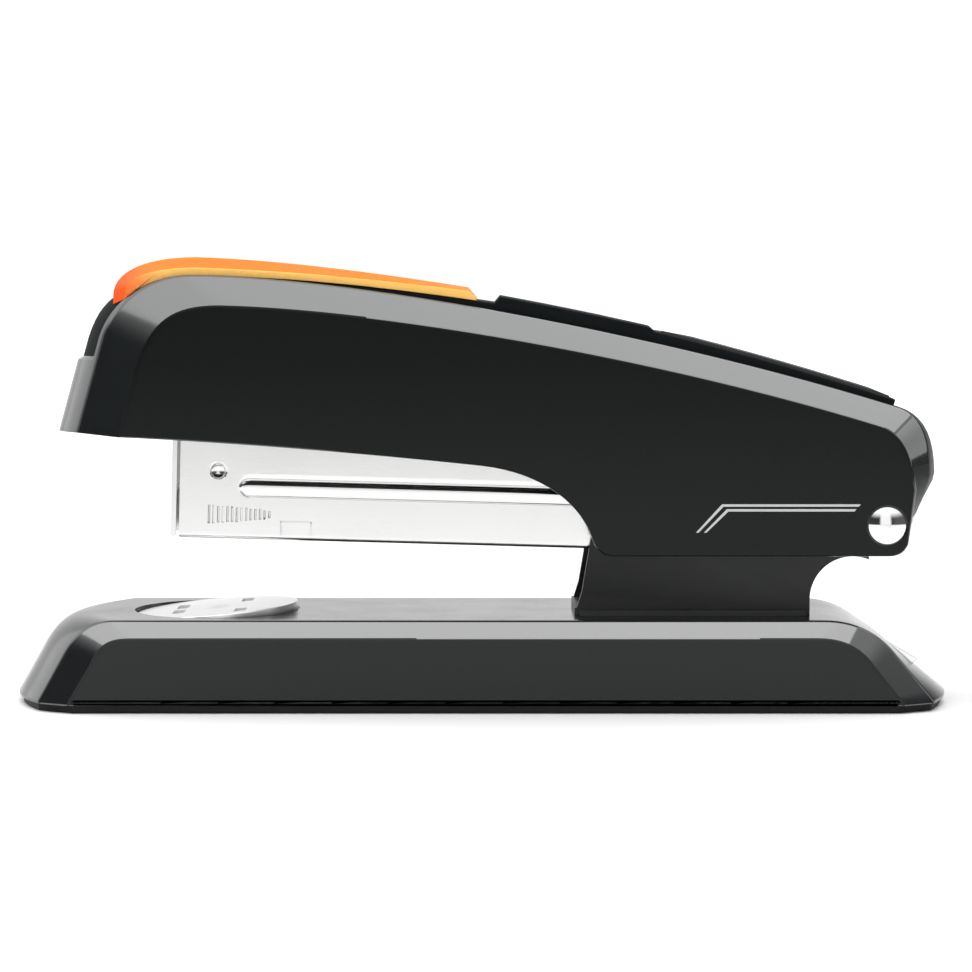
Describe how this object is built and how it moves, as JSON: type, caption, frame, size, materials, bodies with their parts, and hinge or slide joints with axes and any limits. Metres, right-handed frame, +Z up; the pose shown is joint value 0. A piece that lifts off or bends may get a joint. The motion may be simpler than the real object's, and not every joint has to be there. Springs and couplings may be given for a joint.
{
  "type": "desk stapler",
  "caption": "Full-strip desk stapler with a hinged head over a sprung steel magazine, a turnable anvil and a sloped moulded base.",
  "frame": {"origin": "on the desk, under the middle of the base's bounding box", "axes": "+X towards the hinge end, -X towards the nose where staples come out, Y across, +Z up"},
  "size_m": [0.1579, 0.0404, 0.0751],
  "materials": {
    "black_cover": "satin black moulding with polished chamfers",
    "sole_black": "matte anti-slip sole",
    "orange_pad": "translucent orange",
    "black_paint": "satin black paint",
    "nickel_sheet": "bright nickel-plated sheet",
    "chrome_part": "polished chrome",
    "anvil_plate": "white nickel plating",
    "spring_steel": "drawn spring steel",
    "frame_steel": "zinc-plated sheet"
  },
  "bodies": {
    "base": {"base_housing": "black_cover", "base_sole": "sole_black", "base_plate": "frame_steel", "base_screws": "frame_steel", "bracket": "black_paint", "bracket_rivets": "frame_steel", "hinge_pin": "chrome_part", "pin_cap": "chrome_part", "magazine_spring": "spring_steel", "staple_remover": "chrome_part"},
    "anvil_post": {"anvil_button": "frame_steel", "anvil_spring": "spring_steel"},
    "anvil": {"anvil": "anvil_plate"},
    "magazine": {"magazine": "nickel_sheet", "nose_plate": "nickel_sheet", "staple_rail": "nickel_sheet", "rail_plug": "frame_steel", "guide_rod": "spring_steel", "rod_anchor": "frame_steel", "rail_rivets": "frame_steel", "return_spring": "spring_steel", "follower_spring": "spring_steel"},
    "follower": {"follower": "frame_steel"},
    "head": {"head_housing": "black_cover", "top_inlay": "black_cover", "press_pad": "orange_pad", "head_frame": "black_paint", "driver_blade": "spring_steel", "blade_rivets": "frame_steel", "cover_screws": "frame_steel", "hold_down": "spring_steel"}
  },
  "joints": [
    {"name": "magazine_hinge", "type": "hinge", "parent": "base", "child": "magazine", "pos_m": [0.0671, 0, 0.0307], "axis": [0, 1, 0], "range_deg": [-6, 0], "stiffness_Nm_per_rad": 3, "springref_deg": 6.88, "deforming": ["magazine_spring"]},
    {"name": "head_hinge", "type": "hinge", "parent": "magazine", "child": "head", "pos_m": [0.0671, 0, 0.0307], "axis": [0, 1, 0], "range_deg": [-3.4, 95], "stiffness_Nm_per_rad": 1.5, "springref_deg": 2.01, "deforming": ["return_spring", "hold_down"]},
    {"name": "follower_slide", "type": "slide", "parent": "magazine", "child": "follower", "axis": [0.9996, 0, -0.0274], "range_m": [0, 0.085], "stiffness_N_per_m": 15, "springref_m": -0.08, "deforming": ["follower_spring"]},
    {"name": "anvil_lift", "type": "slide", "parent": "base", "child": "anvil_post", "axis": [-0.0785, 0, 0.9969], "range_m": [0, 0.0018], "stiffness_N_per_m": 700, "springref_m": -0.002, "deforming": ["anvil_spring"]},
    {"name": "anvil_turn", "type": "hinge", "parent": "anvil_post", "child": "anvil", "pos_m": [-0.0453, 0, 0.01555], "axis": [-0.0785, 0, 0.9969], "range_deg": [0, 180]}
  ]
}
